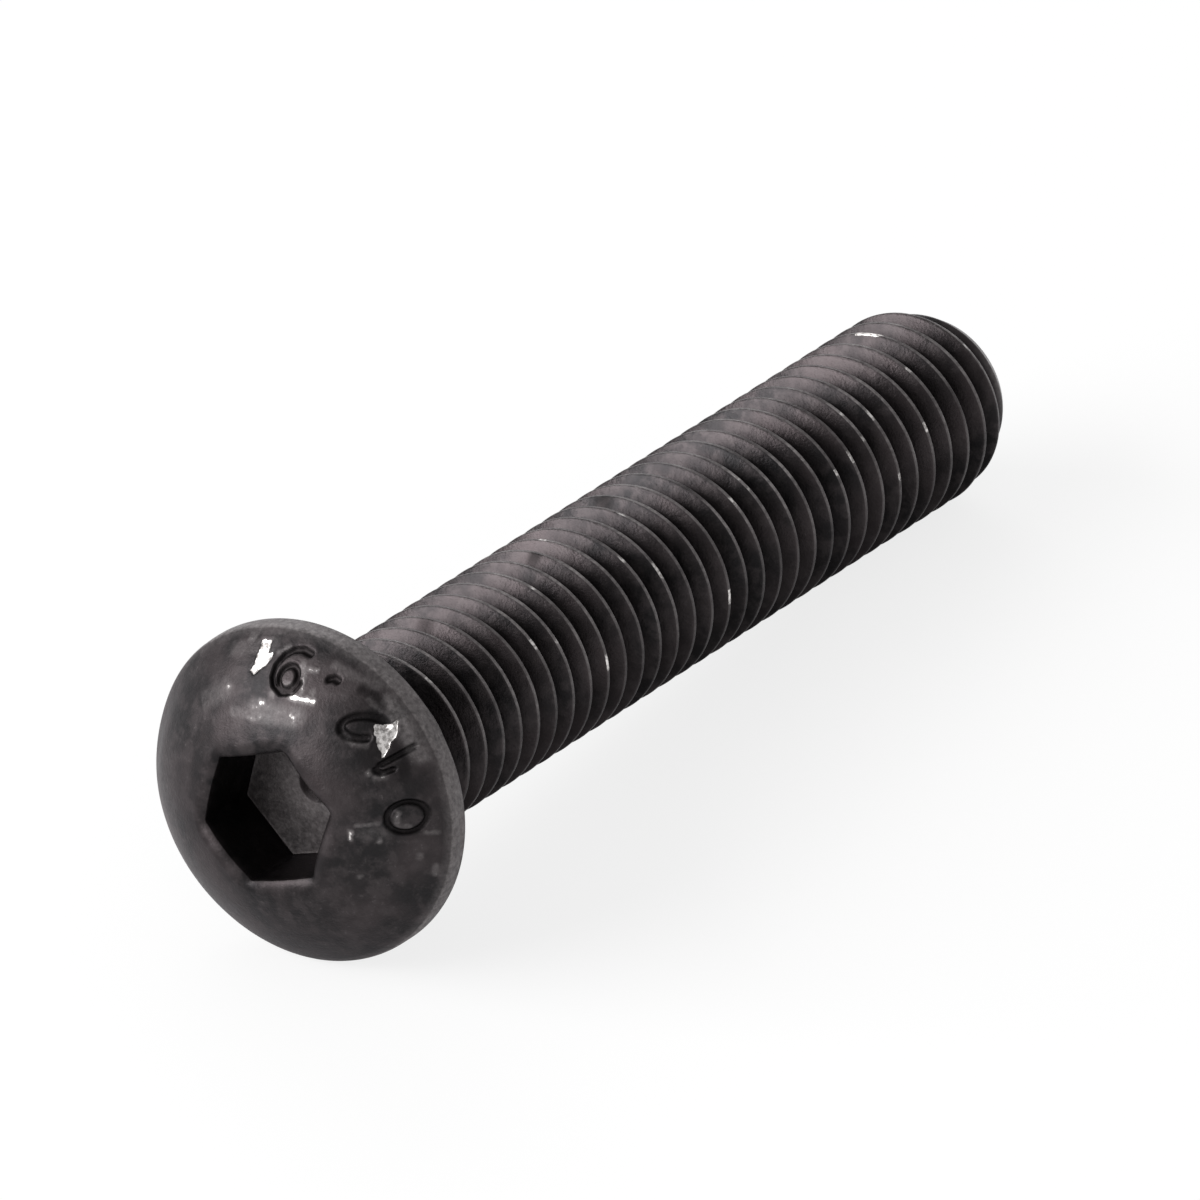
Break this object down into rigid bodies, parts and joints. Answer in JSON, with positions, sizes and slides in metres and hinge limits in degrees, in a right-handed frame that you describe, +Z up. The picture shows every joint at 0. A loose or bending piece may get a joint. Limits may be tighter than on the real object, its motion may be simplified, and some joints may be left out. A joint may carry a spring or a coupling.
{
  "type": "button head screw",
  "caption": "Domed button head screw with a hexagon socket and a fully threaded shank, in worn black oxide steel, lying on its side.",
  "frame": {"origin": "centre of the bounding box's base, on the surface that the screw lies on", "axes": "+X from the head towards the point, level with the surface, and +Z up; the screw's own axis slopes down towards the point by 3.94 degrees, because the rim of the head and the end of the full thread touch the same surface"},
  "size_m": [0.049, 0.0138, 0.0139],
  "materials": {
    "black_oxide_steel": "matte black oxide with bare nicks"
  },
  "bodies": {
    "root": {"button_head_screw": "black_oxide_steel"}
  },
  "joints": []
}
